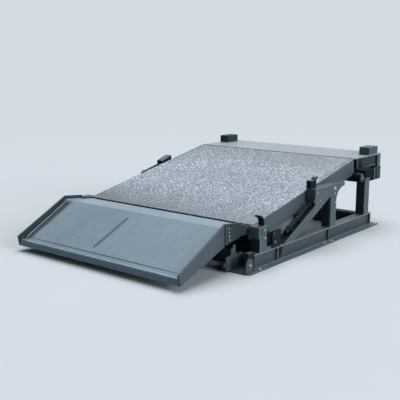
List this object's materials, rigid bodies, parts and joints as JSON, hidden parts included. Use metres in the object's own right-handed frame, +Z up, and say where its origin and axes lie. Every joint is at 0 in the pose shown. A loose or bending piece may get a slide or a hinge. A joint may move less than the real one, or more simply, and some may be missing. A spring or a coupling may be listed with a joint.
{
  "type": "dock leveler",
  "caption": "Free-standing dock leveler: a sloping tread deck hinged at the rear of a welded side frame, with a bent lip hinged to its front edge that ramps down to the floor.",
  "frame": {"origin": "middle of the floor outline, on the floor", "axes": "+Z up, +Y from the lip towards the dock, +X to the right seen from the lip"},
  "size_m": [2.06, 3.055, 0.73],
  "materials": {
    "slate_paint": "satin slate grey paint",
    "lip_paint": "satin blue-grey paint",
    "pale_paint": "satin pale grey paint",
    "tread": "bright raised tread pattern, lightly worn",
    "black_paint": "black paint",
    "pin_steel": "bare steel"
  },
  "bodies": {
    "frame": {"base_l": "slate_paint", "base_r": "slate_paint", "sill_l": "slate_paint", "sill_r": "slate_paint", "front_post_l": "slate_paint", "front_post_r": "slate_paint", "mid_post_l": "slate_paint", "mid_post_r": "slate_paint", "rear_post_l": "slate_paint", "rear_post_r": "slate_paint", "brace_l": "slate_paint", "brace_r": "slate_paint", "side_plate_l": "slate_paint", "side_plate_r": "slate_paint", "box_plates": "slate_paint", "mid_lug_l": "black_paint", "mid_lug_r": "black_paint", "front_hooks": "black_paint", "keeper_l": "slate_paint", "keeper_r": "slate_paint", "toe_plates": "slate_paint", "front_beam": "slate_paint", "low_beam": "slate_paint", "rear_beam": "slate_paint", "beam_ends": "slate_paint", "wall_channel": "slate_paint", "rear_plate": "pale_paint", "rear_block_l": "slate_paint", "rear_block_r": "slate_paint", "wall_brackets": "slate_paint", "bosses": "slate_paint", "hinge_lugs": "slate_paint", "rear_pin": "pin_steel"},
    "deck": {"deck_plate": "tread", "channel_l": "slate_paint", "channel_r": "slate_paint", "deck_ribs": "slate_paint", "front_header": "slate_paint", "rear_header": "slate_paint", "deck_eyes": "slate_paint", "deck_knuckles": "slate_paint", "lip_pin": "pin_steel"},
    "lip": {"lip_plate": "lip_paint", "cheek_l": "slate_paint", "cheek_r": "slate_paint", "lip_nose": "lip_paint", "lip_knuckles": "slate_paint", "lip_ribs": "slate_paint"}
  },
  "joints": [
    {"name": "deck_hinge", "type": "hinge", "parent": "frame", "child": "deck", "pos_m": [0, 0.96251, 0.608], "axis": [-1, 0, 0], "range_deg": [0, 20]},
    {"name": "lip_hinge", "type": "hinge", "parent": "deck", "child": "lip", "pos_m": [0, -0.69672, 0.27655], "axis": [-1, 0, 0], "range_deg": [-1.5, 30]}
  ]
}
